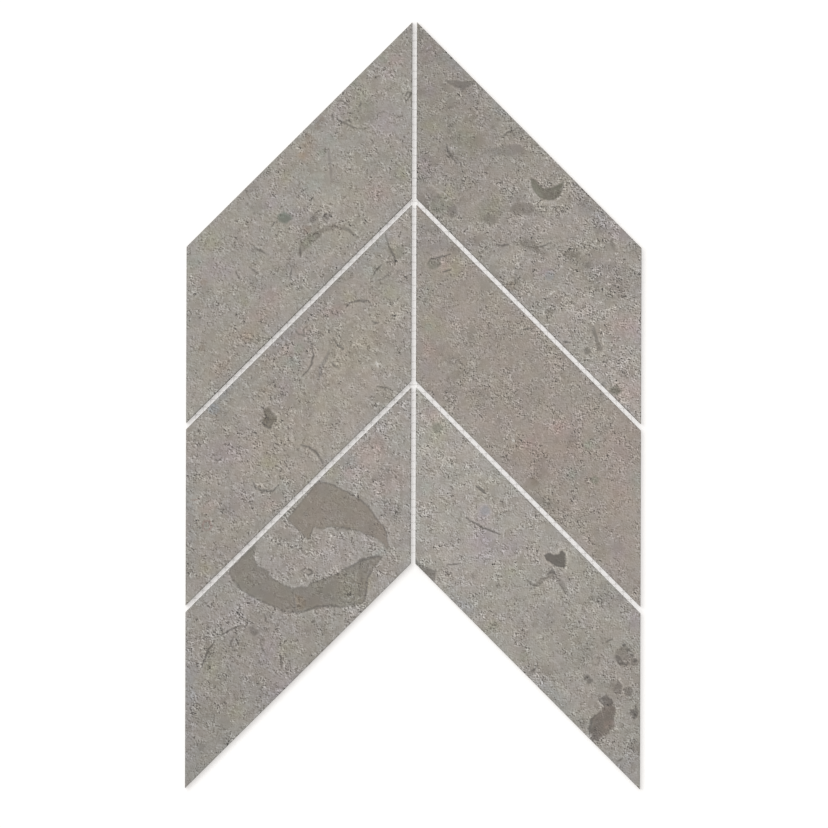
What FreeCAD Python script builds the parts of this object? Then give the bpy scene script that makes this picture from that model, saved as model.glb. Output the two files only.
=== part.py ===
import FreeCAD, Part
import os
import Sketcher

# Chevron wall tile: a sheet of sawn limestone pieces held at an even joint by a glass fibre mesh.
# Two mirrored columns of parallelograms meet at a centre joint, so that every row makes an arrowhead.
# The mesh is two layers of strands: level ones glued to the stones, and upright ones behind them.
# X runs across the sheet, Y up the wall and Z out of it, with the mesh's underside at Z = 0.
# The origin is the middle of the sheet's outline. Lengths are in millimetres and angles in degrees.

DRIVING_SIZES = [
    ("stone_width", 147, "across a stone, square to its upright sides"),
    ("stone_side", 115, "length of each upright side of a stone"),
    ("slant_angle", 45, "fall of the slanted edges, from level"),
    ("stone_thickness", 10, "honed face to sawn back"),
    ("arris", 0.5, "chamfer that eases the edges of the honed face"),
    ("joint_width", 3, "gap between neighbouring stones, measured square to it"),
    ("row_count", 3, "rows of stones, one above the other"),
    ("mesh_pitch", 5, "one strand of the mesh to the next"),
    ("mesh_margin", 4, "how far the mesh is trimmed back from the stones' outline"),
    ("strand_width", 0.8, "a strand of glass fibre with its glue, seen from the face"),
    ("strand_thickness", 0.2, "the same strand, front to back"),
]
size = {name: value for name, value, note in DRIVING_SIZES}

# Worked-out lengths, as expressions on the sheet's cells
rise = "sizes.stone_width * tan(sizes.slant_angle)"
joint_step = "sizes.joint_width / cos(sizes.slant_angle)"
margin_step = "sizes.mesh_margin / cos(sizes.slant_angle)"
row_pitch = f"(sizes.stone_side + {joint_step})"
half_height = f"({rise} + sizes.row_count * {row_pitch} - {joint_step}) / 2"
half_width = "(sizes.joint_width / 2 + sizes.stone_width)"
mesh_half_width = f"({half_width} - sizes.mesh_margin)"
mesh_peak = f"({half_height} + sizes.joint_width / 2 * tan(sizes.slant_angle) - {margin_step})"
mesh_foot = f"({half_height} - sizes.mesh_margin * tan(sizes.slant_angle) - {margin_step})"
mesh_fall = f"{mesh_half_width} * tan(sizes.slant_angle)"
slot_width = "(sizes.mesh_pitch - sizes.strand_width)"
mesh_thickness = "2 * sizes.strand_thickness"

# Each outline starts from a rough drawing near its final shape, and its constraints then set it.
rough = size["stone_width"]

doc = FreeCAD.newDocument("chevron_wall_tile")


def fill_spreadsheet():
    sheet = doc.addObject("Spreadsheet::Sheet", "sizes")
    for row, (name, value, note) in enumerate(DRIVING_SIZES, start=1):
        sheet.set(f"A{row}", name)
        sheet.set(f"B{row}", str(value))
        sheet.setAlias(f"B{row}", name)
        sheet.set(f"C{row}", note)
    doc.recompute()


def new_body(label, x, y, z):
    """A body whose place is bound to the sheet: x, y and z are expressions."""
    body = doc.addObject("PartDesign::Body", label)
    body.Label = label
    for axis, place in (("x", x), ("y", y), ("z", z)):
        body.setExpression(f"Placement.Base.{axis}", place)
    return body


def closed_outline(body, use, corners):
    """A sketch on the body's own XY plane, with one line from each corner to the next."""
    plane = next(item for item in body.Origin.OriginFeatures if item.Role == "XY_Plane")
    sketch = body.newObject("Sketcher::SketchObject", f"{body.Name}_{use}")
    sketch.AttachmentSupport = (plane, [""])
    sketch.MapMode = "FlatFace"
    points = [FreeCAD.Vector(x, y, 0) for x, y in corners]
    count = len(points)
    for line, start in enumerate(points):
        sketch.addGeometry(Part.LineSegment(start, points[(line + 1) % count]))
    for line in range(count):
        sketch.addConstraint(Sketcher.Constraint("Coincident", line, 2, (line + 1) % count, 1))
    return sketch


def bind(sketch, kind, first, second, name, length):
    """Holds two corners, each given as (line, end), at the distance that the expression works out."""
    rough_length = 100
    sketch.addConstraint(Sketcher.Constraint(kind, *first, *second, rough_length))
    sketch.renameConstraint(sketch.ConstraintCount - 1, name)
    sketch.setExpression(f"Constraints.{name}", length)


def pad_outline(body, sketch, thickness):
    pad = body.newObject("PartDesign::Pad", f"{body.Name}_pad")
    pad.Profile = sketch
    pad.setExpression("Length", thickness)
    sketch.Visibility = False
    doc.recompute()
    return pad


def ease_face_edges(body, pad):
    """Chamfers every edge of the pad's upper face."""
    faces = pad.Shape.Faces
    highest = max(range(len(faces)), key=lambda index: faces[index].CenterOfMass.z)
    chamfer = body.newObject("PartDesign::Chamfer", f"{body.Name}_arris")
    chamfer.Base = (pad, [f"Face{highest + 1}"])
    chamfer.setExpression("Size", "sizes.arris")
    doc.recompute()


def add_stone(column, row):
    """One parallelogram. Its own origin is the corner at the centre joint, at the top of its row."""
    toward = 1 if column == "right" else -1
    body = new_body(
        f"stone_{column}_{row + 1}",
        x=f"{toward} * sizes.joint_width / 2",
        y=f"{half_height} - {row} * {row_pitch}",
        z=mesh_thickness,
    )
    inner_top, outer_top = (0, 0), (toward * rough, -rough)
    outer_bottom, inner_bottom = (toward * rough, -2 * rough), (0, -rough)
    sketch = closed_outline(body, "outline", [inner_top, outer_top, outer_bottom, inner_bottom])
    top_line, outer_line, inner_line = 0, 1, 3
    sketch.addConstraint(Sketcher.Constraint("Coincident", top_line, 1, -1, 1))
    sketch.addConstraint(Sketcher.Constraint("Vertical", outer_line))
    sketch.addConstraint(Sketcher.Constraint("Vertical", inner_line))
    sketch.addConstraint(Sketcher.Constraint("Equal", outer_line, inner_line))
    inner_corner, outer_corner = (top_line, 1), (top_line, 2)
    left_to_right = (inner_corner, outer_corner) if toward > 0 else (outer_corner, inner_corner)
    bind(sketch, "DistanceX", *left_to_right, "width", "sizes.stone_width")
    bind(sketch, "DistanceY", outer_corner, inner_corner, "fall", rise)
    bind(sketch, "DistanceY", (outer_line, 2), (outer_line, 1), "side", "sizes.stone_side")
    ease_face_edges(body, pad_outline(body, sketch, "sizes.stone_thickness"))
    return body


def mesh_outline(body):
    """The sheet's outline, with the joints closed and the edge trimmed back all round."""
    corners = [
        (0, 2 * rough),
        (rough, rough),
        (rough, -2 * rough),
        (0, -rough),
        (-rough, -2 * rough),
        (-rough, rough),
    ]
    sketch = closed_outline(body, "outline", corners)
    origin, upright_axis, right_side = (-1, 1), -2, 1
    peak, right_shoulder, right_foot = (0, 1), (1, 1), (2, 1)
    notch, left_foot, left_shoulder = (3, 1), (4, 1), (5, 1)
    for corner in (peak, notch):
        sketch.addConstraint(Sketcher.Constraint("PointOnObject", *corner, upright_axis))
    for left, right in ((left_shoulder, right_shoulder), (left_foot, right_foot)):
        sketch.addConstraint(Sketcher.Constraint("Symmetric", *left, *right, upright_axis))
    sketch.addConstraint(Sketcher.Constraint("Vertical", right_side))
    bind(sketch, "DistanceX", origin, right_foot, "half_width", mesh_half_width)
    bind(sketch, "DistanceY", origin, peak, "peak_height", mesh_peak)
    bind(sketch, "DistanceY", right_shoulder, peak, "shoulder_fall", mesh_fall)
    bind(sketch, "DistanceY", right_foot, origin, "foot_depth", mesh_foot)
    bind(sketch, "DistanceY", right_foot, notch, "notch_rise", mesh_fall)
    return sketch


def slot_outline(body, left, right, low, high):
    """A rectangle whose sides lie at the given distances left of, right of, below and above the origin."""
    corners = [(rough, rough), (rough, -rough), (-rough, -rough), (-rough, rough)]
    sketch = closed_outline(body, "slot", corners)
    origin, top_right, bottom_left = (-1, 1), (0, 1), (2, 1)
    for line in (0, 2):
        sketch.addConstraint(Sketcher.Constraint("Vertical", line))
        sketch.addConstraint(Sketcher.Constraint("Horizontal", line + 1))
    bind(sketch, "DistanceX", bottom_left, origin, "left", left)
    bind(sketch, "DistanceX", origin, top_right, "right", right)
    bind(sketch, "DistanceY", bottom_left, origin, "low", low)
    bind(sketch, "DistanceY", origin, top_right, "high", high)
    return sketch


def repeat_slot(body, slot, axis, backwards, steps):
    """Cuts the slot through the layer, then again at every pitch along the sketch's axis."""
    layer_volume = body.Shape.Volume
    pocket = body.newObject("PartDesign::Pocket", f"{body.Name}_pocket")
    pocket.Profile = slot
    pocket.Type = "ThroughAll"
    pocket.Reversed = True
    slot.Visibility = False
    doc.recompute()
    pattern = body.newObject("PartDesign::LinearPattern", f"{body.Name}_slots")
    pattern.Originals = [pocket]
    pattern.Direction = (slot, [axis])
    pattern.Reversed = backwards
    pattern.setExpression("Length", f"{steps} * sizes.mesh_pitch")
    pattern.setExpression("Occurrences", f"{steps} + 1")
    body.Tip = pattern
    doc.recompute()
    if body.Shape.Volume >= layer_volume:
        raise RuntimeError(f"{body.Label} kept the material between its strands")


def add_upright_strands():
    """The layer that lies lowest. No strand runs along the centre joint: a slot is centred on it."""
    body = new_body("mesh_upright_strands", x="0", y="0", z="0")
    pad_outline(body, mesh_outline(body), "sizes.strand_thickness")
    steps_to_edge = f"ceil({mesh_half_width} / sizes.mesh_pitch)"
    first = f"{steps_to_edge} * sizes.mesh_pitch"
    slot = slot_outline(
        body,
        left=f"{first} + {slot_width} / 2",
        right=f"-({first}) + {slot_width} / 2",
        low=half_height,
        high=half_height,
    )
    repeat_slot(body, slot, "H_Axis", backwards=False, steps=f"2 * {steps_to_edge}")
    return body


def add_level_strands():
    """The layer glued to the stones. Its slots are counted down from the peak, where one is centred."""
    body = new_body("mesh_level_strands", x="0", y="0", z="sizes.strand_thickness")
    pad_outline(body, mesh_outline(body), "sizes.strand_thickness")
    slot = slot_outline(
        body,
        left=half_width,
        right=half_width,
        low=f"-{mesh_peak} + {slot_width} / 2",
        high=f"{mesh_peak} + {slot_width} / 2",
    )
    steps_to_feet = f"ceil(({mesh_peak} + {mesh_foot}) / sizes.mesh_pitch)"
    repeat_slot(body, slot, "V_Axis", backwards=True, steps=steps_to_feet)
    return body


def check_document():
    for item in doc.Objects:
        if "Invalid" in item.State or "Error" in item.State:
            raise RuntimeError(f"{item.Name} failed: {item.State}")


def write_part(body):
    shape = body.Shape
    if shape.isNull() or not shape.isValid() or not shape.Solids:
        raise RuntimeError(f"{body.Label} has no valid solid")
    shape.exportStep(os.path.join("parts", f"{body.Label}.step"))
    box = shape.BoundBox
    extent = f"{box.XLength:.2f} x {box.YLength:.2f} x {box.ZLength:.2f} mm"
    print(f"{body.Label}: {extent}, {shape.Volume:.0f} mm3, solids: {len(shape.Solids)}")


fill_spreadsheet()
pieces = [add_upright_strands(), add_level_strands()]
for row in range(size["row_count"]):
    for column in ("left", "right"):
        pieces.append(add_stone(column, row))
doc.recompute()
check_document()
os.makedirs("parts", exist_ok=True)
for piece in pieces:
    write_part(piece)
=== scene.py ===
import bpy
import bmesh
import math
import numpy as np
from mathutils import Matrix, Vector, noise


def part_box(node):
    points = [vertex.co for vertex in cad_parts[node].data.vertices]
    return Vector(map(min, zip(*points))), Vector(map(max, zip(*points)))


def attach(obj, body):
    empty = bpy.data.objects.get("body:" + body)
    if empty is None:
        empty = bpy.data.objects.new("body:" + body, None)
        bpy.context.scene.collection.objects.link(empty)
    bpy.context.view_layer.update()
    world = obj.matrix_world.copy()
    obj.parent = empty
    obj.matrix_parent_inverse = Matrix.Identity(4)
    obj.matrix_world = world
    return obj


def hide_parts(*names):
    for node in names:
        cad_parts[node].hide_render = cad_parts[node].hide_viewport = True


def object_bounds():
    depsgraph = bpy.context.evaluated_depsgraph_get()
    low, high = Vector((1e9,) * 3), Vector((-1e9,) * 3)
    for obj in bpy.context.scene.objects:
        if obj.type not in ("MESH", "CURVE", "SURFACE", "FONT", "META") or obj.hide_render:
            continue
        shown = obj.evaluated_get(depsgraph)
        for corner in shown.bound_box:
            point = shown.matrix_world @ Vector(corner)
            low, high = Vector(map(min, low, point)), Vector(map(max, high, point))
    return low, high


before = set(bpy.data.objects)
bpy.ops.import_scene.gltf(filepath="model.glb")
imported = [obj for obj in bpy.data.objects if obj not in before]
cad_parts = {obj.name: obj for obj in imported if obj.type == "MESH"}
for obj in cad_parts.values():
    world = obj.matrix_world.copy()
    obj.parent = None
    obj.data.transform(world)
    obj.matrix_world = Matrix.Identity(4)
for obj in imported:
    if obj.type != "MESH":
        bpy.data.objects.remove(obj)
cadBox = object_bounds()

mm = 0.001  # the scene is in metres

# Where the photograph shows the sheet. The marks on the stones are placed in its pixels.
photo = {
    "side": 828,  # pixels, both ways
    "sheetMiddle": (413.6, 405.5),  # the pixel at the middle of the sheet
    "pixel": 0.6527,  # millimetres of the stones' face
    "turn": math.radians(0.17),  # the sheet lies this far clockwise
}


def linear(tone):
    # sRGB from 0 to 255, as a picture shows it, to the light that a shader works in; not for near black
    return tuple(((part / 255 + 0.055) / 1.055) ** 2.4 for part in tone)


def sheetPlace(x, y):
    # photograph pixels to metres on the sheet
    right = (x - photo["sheetMiddle"][0]) * photo["pixel"] * mm
    up = (photo["sheetMiddle"][1] - y) * photo["pixel"] * mm
    cosine, sine = math.cos(photo["turn"]), math.sin(photo["turn"])
    return right * cosine - up * sine, right * sine + up * cosine


def photoPlace(x, y):
    # metres on the sheet to photograph pixels, for single values or arrays
    cosine, sine = math.cos(photo["turn"]), math.sin(photo["turn"])
    right, up = x * cosine + y * sine, y * cosine - x * sine
    size = photo["pixel"] * mm
    return photo["sheetMiddle"][0] + right / size, photo["sheetMiddle"][1] - up / size


class Knit:
    # One socket of a node tree. Sums of knits add Math nodes, and make() adds any other node.
    def __init__(self, tree, socket=None):
        self.tree = tree
        self.socket = socket

    def make(self, kind, settings=None, sockets=None, out=0):
        node = self.tree.nodes.new("ShaderNode" + kind)
        for name, value in (settings or {}).items():
            if name == "stops":
                while len(node.color_ramp.elements) < len(value):
                    node.color_ramp.elements.new(1)
                for stop, (place, tone) in zip(node.color_ramp.elements, value):
                    stop.position = place
                    stop.color = tone
            else:
                setattr(node, name, value)
        for name, value in (sockets or {}).items():
            if isinstance(value, Knit):
                self.tree.links.new(value.socket, node.inputs[name])
            elif value is not None:
                node.inputs[name].default_value = value
        return Knit(self.tree, node.outputs[out] if node.outputs else None)

    def sum(self, operation, first, second=None, third=None):
        parts = {0: first, 1: second, 2: third}
        return self.make("Math", {"operation": operation}, parts)

    def __add__(self, other):
        return self.sum("ADD", self, other)

    def __sub__(self, other):
        return self.sum("SUBTRACT", self, other)

    def __rsub__(self, other):
        return self.sum("SUBTRACT", other, self)

    def __mul__(self, other):
        return self.sum("MULTIPLY", self, other)

    def __truediv__(self, other):
        return self.sum("DIVIDE", self, other)

    def __rtruediv__(self, other):
        return self.sum("DIVIDE", other, self)

    __radd__ = __add__
    __rmul__ = __mul__

    def between(self, low, high, fromLow=0.0, fromHigh=1.0):
        # a soft step: 0 at low, 1 at high
        parts = {"Value": self, "From Min": low, "From Max": high, "To Min": fromLow, "To Max": fromHigh}
        return self.make("MapRange", {"interpolation_type": "SMOOTHSTEP"}, parts)

    def mixed(self, factor, below, above, way="MIX"):
        settings = {"data_type": "RGBA", "blend_type": way}
        tones = [tone if isinstance(tone, Knit) else (*tone, 1) for tone in (below, above)]
        return self.make("Mix", settings, {0: factor, 6: tones[0], 7: tones[1]}, out=2)

    def blend(self, below, above):
        # two colours mixed by this knit's value
        return self.mixed(self, below, above)

    def tinted(self, tone):
        # this colour times another
        return self.mixed(1.0, self, tone, "MULTIPLY")


def newMaterial(name):
    material = bpy.data.materials.new(name)
    material.use_nodes = True
    material.node_tree.nodes.clear()
    return material, Knit(material.node_tree)


def finishMaterial(material, surface):
    surface.make("OutputMaterial", sockets={"Surface": surface})
    return material


# Camera and light

view = {
    "distance": 6.0,  # metres above the stones' face
    "sensor": 36.0,  # millimetres
}
sun = {
    "tilt": math.radians(12),  # from straight down
    "towards": math.radians(-45),  # its shadows fall to the lower right
    "softness": math.radians(28),  # how wide it is in the sky
    "light": 0.53,  # what reaches the face, where 1 shows a colour as written
    "sky": 0.33,  # and from all round; the stones' gloss adds the rest
}


def setCamera():
    top = cadBox[1][2]
    data = bpy.data.cameras.new("camera")
    data.sensor_width = view["sensor"]
    data.lens = view["sensor"] * view["distance"] / (photo["side"] * photo["pixel"] * mm)
    data.clip_end = 100
    camera = bpy.data.objects.new("camera", data)
    bpy.context.scene.collection.objects.link(camera)
    x, y = sheetPlace(photo["side"] / 2, photo["side"] / 2)
    camera.location = (x, y, top + view["distance"])
    camera.rotation_euler = (0, 0, photo["turn"])
    bpy.context.scene.camera = camera


def setSun():
    data = bpy.data.lights.new("sun", "SUN")
    data.energy = math.pi * sun["light"] / math.cos(sun["tilt"])
    data.angle = sun["softness"]
    lamp = bpy.data.objects.new("sun", data)
    across = math.sin(sun["tilt"])
    way = Vector((across * math.cos(sun["towards"]), across * math.sin(sun["towards"]), -math.cos(sun["tilt"])))
    lamp.rotation_euler = way.to_track_quat("-Z", "Y").to_euler()
    bpy.context.scene.collection.objects.link(lamp)


def seenDirectly(knit):
    return knit.make("LightPath", out="Is Camera Ray")


def seenInGloss(knit):
    # 1 on the rays that bring the background by a reflection or through the glass fibre
    reflected = knit.make("LightPath", out="Is Glossy Ray")
    return knit.sum("MAXIMUM", reflected, knit.make("LightPath", out="Is Transmission Ray"))


def setWorld():
    world = bpy.data.worlds.new("world")
    world.use_nodes = True
    world.node_tree.nodes.clear()
    knit = Knit(world.node_tree)
    background = knit.sum("MAXIMUM", seenDirectly(knit), seenInGloss(knit))
    strength = background * (1 - sun["sky"]) + sun["sky"]
    light = knit.make("Background", sockets={"Color": (1, 1, 1, 1), "Strength": strength})
    light.make("OutputWorld", sockets={"Surface": light})
    bpy.context.scene.world = world


floorLook = {
    "reach": 4.0,  # metres from the middle
    "below": 0.05 * mm,  # under the mesh, so that the two don't share a plane
    "whiteInShade": (0.472, 0.456, 0.444),
    "whiteFromLight": 0.69,
    "bounce": 0.8,
}


def floorMaterial():
    material, knit = newMaterial("pale_floor")
    lit = floorLook["whiteFromLight"]
    glow = knit.make("Emission", sockets={"Color": (*floorLook["whiteInShade"], 1), "Strength": 1.0})
    matt = knit.make("BsdfDiffuse", sockets={"Color": (lit, lit, lit, 1)})
    shown = knit.make("AddShader", sockets={0: glow, 1: matt})
    plain = knit.make("BsdfDiffuse", sockets={"Color": (*[floorLook["bounce"]] * 3, 1)})
    white = knit.make("Emission", sockets={"Color": (1, 1, 1, 1), "Strength": 1.0})
    plain = knit.make("MixShader", sockets={0: seenInGloss(knit), 1: plain, 2: white})
    return finishMaterial(material, knit.make("MixShader", sockets={0: seenDirectly(knit), 1: plain, 2: shown}))


def layFloor():
    shape = bmesh.new()
    bmesh.ops.create_grid(shape, x_segments=1, y_segments=1, size=floorLook["reach"])
    bmesh.ops.translate(shape, verts=shape.verts, vec=(0, 0, -floorLook["below"]))
    floor = newPiece("floor", shape, [floorMaterial()])


def newPiece(name, shape, materials):
    data = bpy.data.meshes.new(name)
    shape.to_mesh(data)
    shape.free()
    for material in materials:
        data.materials.append(material)
    piece = bpy.data.objects.new(name, data)
    bpy.context.scene.collection.objects.link(piece)
    return piece


# Stones

stoneCut = {
    "slant": math.radians(45),  # fall of the slanted edges
    "arris": 0.5,  # millimetres taken off the edges of the face
    "grid": 0.5,  # millimetres between the face's vertices
    "sideRows": 4,
    "roughEdge": 0.12,  # millimetres that the arris wanders
    "chips": 0.5,  # millimetres, the deepest of the small chips
    "arrisPaintedHighlight": 1.08,  # the eased edge is left rougher, and has a painted highlight that makes it paler
    "edgeBlue": 0.03,  # and the face turns bluer
    "edgeReach": 3.0,  # this many millimetres in from it
}
faceSlot, sawnSlot = 0, 1


def growRim(shape, edges, scale, down):
    # one more ring of faces round an open rim
    grown = bmesh.ops.extrude_edge_only(shape, edges=edges)["geom"]
    verts = [part for part in grown if isinstance(part, bmesh.types.BMVert)]
    bmesh.ops.scale(shape, vec=(scale[0], scale[1], 1), verts=verts)
    bmesh.ops.translate(shape, vec=(0, 0, -down), verts=verts)
    return [part for part in grown if isinstance(part, bmesh.types.BMEdge)]


def roughenEdges(shape, flat):
    # the eased edge wanders, and small chips widen it
    arris = stoneCut["arris"] * mm
    for vert in shape.verts:
        outX, outY = abs(vert.co.x) - flat[0] / 2, abs(vert.co.y) - flat[1] / 2
        if max(outX, outY) < -0.01 * mm:
            continue
        place = Vector((vert.co.x, vert.co.y, 0))
        wander = (noise.noise(place * 420) + 0.5) * stoneCut["roughEdge"] * mm
        chip = max(0, noise.noise(place * 300 + Vector((7, 3, 1))) - 0.33) * 1.6 * stoneCut["chips"] * mm
        amount = min(wander + chip, 0.4 * mm)
        if outX >= -0.01 * mm:
            vert.co.x -= math.copysign(amount, vert.co.x) * (1 - min(1, outX / arris))
        if outY >= -0.01 * mm:
            vert.co.y -= math.copysign(amount, vert.co.y) * (1 - min(1, outY / arris))
        vert.co.z -= amount * 0.8 * min(1, max(outX, outY) / arris)


def stoneShape(node, left):
    # the slab is made square, then sheared to its slant
    low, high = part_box(node)
    slope = math.tan(stoneCut["slant"])
    run, thickness = high.x - low.x, high.z - low.z
    side = high.y - low.y - run * slope
    grid, arris = stoneCut["grid"] * mm, stoneCut["arris"] * mm
    flat = (run - 2 * arris, side - 2 * arris / math.cos(stoneCut["slant"]))
    shape = bmesh.new()
    bmesh.ops.create_grid(shape, x_segments=round(run / grid), y_segments=round(side / grid), size=0.5)
    bmesh.ops.scale(shape, vec=(flat[0], flat[1], 1), verts=shape.verts)
    rim = [edge for edge in shape.edges if edge.is_boundary]
    reached = 0
    for out, down in ((0.55, 0.2), (1, 1)):  # the eased edge, in two steps
        widths = [flat[axis] + (full - flat[axis]) * out for axis, full in enumerate((run, side))]
        now = [flat[axis] + (full - flat[axis]) * reached for axis, full in enumerate((run, side))]
        before = 0.2 if reached else 0
        rim = growRim(shape, rim, [wide / was for wide, was in zip(widths, now)], (down - before) * arris)
        reached = out
    roughenEdges(shape, flat)
    honed = set(shape.faces)
    for row in range(stoneCut["sideRows"]):
        rim = growRim(shape, rim, (1, 1), (thickness - arris) / stoneCut["sideRows"])
    bmesh.ops.contextual_create(shape, geom=rim)
    for face in shape.faces:
        face.material_index = faceSlot if face in honed else sawnSlot
        face.smooth = face in honed
    middle = (low + high) / 2
    lean = slope if left else -slope
    shear = Matrix(((1, 0, 0, middle.x), (lean, 1, 0, middle.y), (0, 0, 1, high.z), (0, 0, 0, 1)))
    bmesh.ops.transform(shape, matrix=shear, verts=shape.verts)
    bmesh.ops.recalc_face_normals(shape, faces=shape.faces)
    return shape


# Marks in the stone. Places are pixels of the photograph; widths and radii are millimetres.

palette = {
    "dark": (120, 114, 107),
    "deep": (100, 95, 89),
    "shell": (130, 123, 114),
    "lobe": (136, 127, 117),
    "olive": (136, 133, 121),
    "green": (148, 147, 135),
    "pink": (160, 149, 144),
    "brown": (143, 132, 121),
    "rust": (163, 147, 131),
    "red": (150, 131, 124),
    "grey": (138, 132, 126),
    "blue": (149, 149, 149),
    "pale": (180, 175, 169),
    "hollow": (161, 154, 148),
    "white": (208, 202, 196),
    "deepOlive": (108, 106, 94),
    "moss": (119, 122, 113),
    "roundBrown": (110, 103, 92),
    "footBrown": (114, 105, 98),
    "rustDark": (132, 120, 104),
    "field": (136, 131, 119),
    "umber": (128, 122, 113),
}


def line(tone, width, *points, thickest=0.5, strength=0.9, wander=0.8):
    return {"kind": "line", "tone": tone, "width": width + 0.2, "points": points, "thickest": thickest,
            "strength": strength, "wander": wander}


def patch(tone, *points, soft=0.8, strength=0.75, rim=0.0, speckle=1.0, wander=1.0):
    return {"kind": "patch", "tone": tone, "points": points, "soft": soft, "strength": strength,
            "rim": rim, "speckle": speckle, "wander": wander}


def spot(tone, radius, *points, strength=0.7, wander=1.0):
    return {"kind": "spot", "tone": tone, "radius": radius, "points": points, "strength": strength,
            "wander": wander}


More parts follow.
